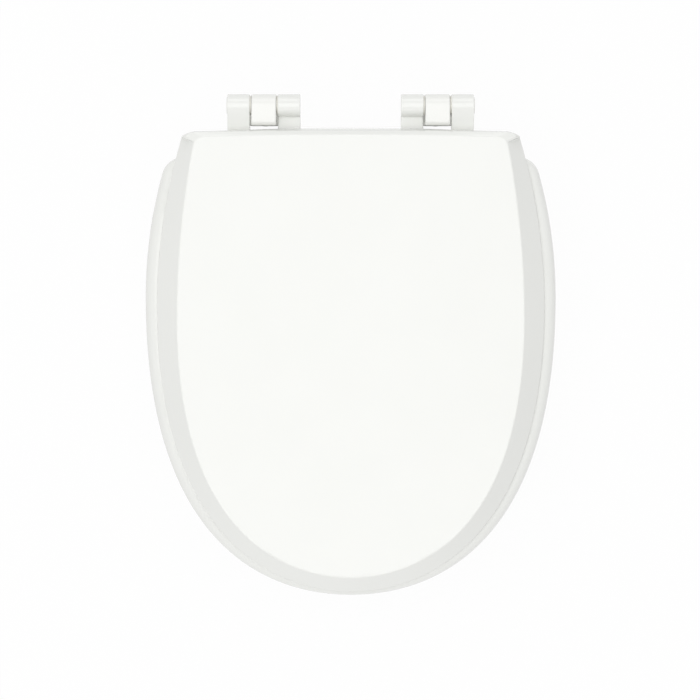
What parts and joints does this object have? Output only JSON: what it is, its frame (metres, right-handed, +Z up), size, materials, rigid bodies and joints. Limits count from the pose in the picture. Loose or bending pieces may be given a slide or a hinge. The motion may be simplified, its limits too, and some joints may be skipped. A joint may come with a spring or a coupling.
{
  "type": "toilet seat",
  "caption": "White toilet seat: a flat-topped lid with a slanted band over a dished ring, both hinged on posts bolted through the pan.",
  "frame": {"origin": "on the pan's top face, midway between the two fixing bolts", "axes": "+X to the right as one faces the closed seat from the front, +Y to the rear, +Z up"},
  "size_m": [0.369, 0.453, 0.108],
  "materials": {
    "lid_plastic": "gloss white moulded plastic",
    "ring_plastic": "gloss white moulded plastic",
    "hinge_plastic": "semi-gloss white moulded plastic",
    "bush_plastic": "natural nylon, satin",
    "nut_plastic": "white nylon, satin",
    "stainless": "drawn stainless steel",
    "zinc_steel": "bright zinc plate",
    "pad_rubber": "soft grey rubber, matt",
    "buffer_rubber": "soft white rubber, matt"
  },
  "bodies": {
    "mounting": {"hinge_post_left": "hinge_plastic", "hinge_pin_left": "stainless", "fixing_bolt_left": "zinc_steel", "base_pad_left": "pad_rubber", "cone_washer_left": "pad_rubber", "flat_washer_left": "zinc_steel", "wing_nut_left": "nut_plastic", "hinge_post_right": "hinge_plastic", "hinge_pin_right": "stainless", "fixing_bolt_right": "zinc_steel", "base_pad_right": "pad_rubber", "cone_washer_right": "pad_rubber", "flat_washer_right": "zinc_steel", "wing_nut_right": "nut_plastic"},
    "ring": {"seat_ring": "ring_plastic", "ring_bush_left": "bush_plastic", "ring_bush_right": "bush_plastic", "ring_buffer_front_left": "buffer_rubber", "ring_buffer_front_right": "buffer_rubber", "ring_buffer_rear_left": "buffer_rubber", "ring_buffer_rear_right": "buffer_rubber"},
    "lid": {"lid": "lid_plastic", "lid_bush_left": "bush_plastic", "pin_cap_left": "hinge_plastic", "lid_buffer_left": "buffer_rubber", "lid_bush_right": "bush_plastic", "pin_cap_right": "hinge_plastic", "lid_buffer_right": "buffer_rubber"}
  },
  "joints": [
    {"name": "ring_lift", "type": "hinge", "parent": "mounting", "child": "ring", "pos_m": [0, 0, 0.028], "axis": [-1, 0, 0], "range_deg": [0, 95]},
    {"name": "lid_lift", "type": "hinge", "parent": "ring", "child": "lid", "pos_m": [0, 0, 0.028], "axis": [-1, 0, 0], "range_deg": [0, 100]}
  ]
}
